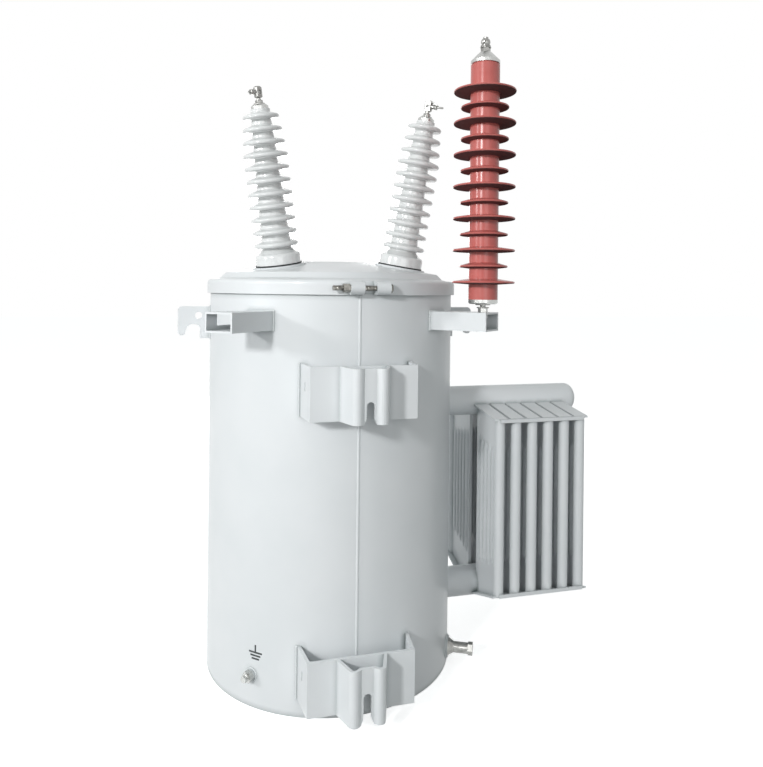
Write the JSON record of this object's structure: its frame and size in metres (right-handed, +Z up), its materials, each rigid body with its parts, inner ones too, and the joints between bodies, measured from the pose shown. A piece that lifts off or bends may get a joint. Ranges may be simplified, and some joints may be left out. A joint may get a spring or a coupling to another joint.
{
  "type": "pole mounted transformer",
  "caption": "Round oil filled tank with clamped domed cover, ribbed bushings, pole hangers, a finned side radiator and a surge arrester on a bracket.",
  "frame": {"origin": "tank axis, on the plane of the tank wall's lower edge", "axes": "+Z up along the tank axis, -Y towards the pole that the hangers bolt to, +X towards the radiator"},
  "size_m": [1.074, 0.832, 1.495],
  "materials": {
    "grey_paint": "gloss",
    "porcelain": "gloss",
    "gasket_rubber": "matte",
    "silicone_rubber": "satin",
    "zinc_steel": "satin",
    "brass": "satin"
  },
  "bodies": {
    "root": {"tank_shell": "grey_paint", "tank_base": "grey_paint", "tank_cover": "grey_paint", "clamp_band": "grey_paint", "arrester_bracket_left": "grey_paint", "arrester_bracket_right": "grey_paint", "lifting_lug_left": "grey_paint", "lifting_lug_right": "grey_paint", "upper_hanger": "grey_paint", "lower_hanger": "grey_paint", "upper_header_pipe": "grey_paint", "lower_header_pipe": "grey_paint", "radiator_fin_1": "grey_paint", "radiator_fin_2": "grey_paint", "radiator_fin_3": "grey_paint", "radiator_fin_4": "grey_paint", "radiator_fin_5": "grey_paint", "radiator_fin_6": "grey_paint", "upper_tie_strips": "grey_paint", "lower_tie_strips": "grey_paint", "drain_boss": "grey_paint", "earth_boss": "grey_paint", "hv_bushing_left": "porcelain", "hv_bushing_right": "porcelain", "lv_bushing_left": "porcelain", "lv_bushing_middle": "porcelain", "lv_bushing_right": "porcelain", "hv_gasket_left": "gasket_rubber", "hv_gasket_right": "gasket_rubber", "arrester_housing": "silicone_rubber", "clamp_bolt": "zinc_steel", "hv_cap_left": "zinc_steel", "hv_cap_right": "zinc_steel", "hv_terminal_left": "zinc_steel", "hv_terminal_right": "zinc_steel", "arrester_stud": "zinc_steel", "arrester_base_cap": "zinc_steel", "arrester_top_cap": "zinc_steel", "arrester_terminal": "zinc_steel", "earth_stud": "zinc_steel", "drain_plug": "zinc_steel", "lv_stud_left": "brass", "lv_stud_middle": "brass", "lv_stud_right": "brass"}
  },
  "joints": []
}
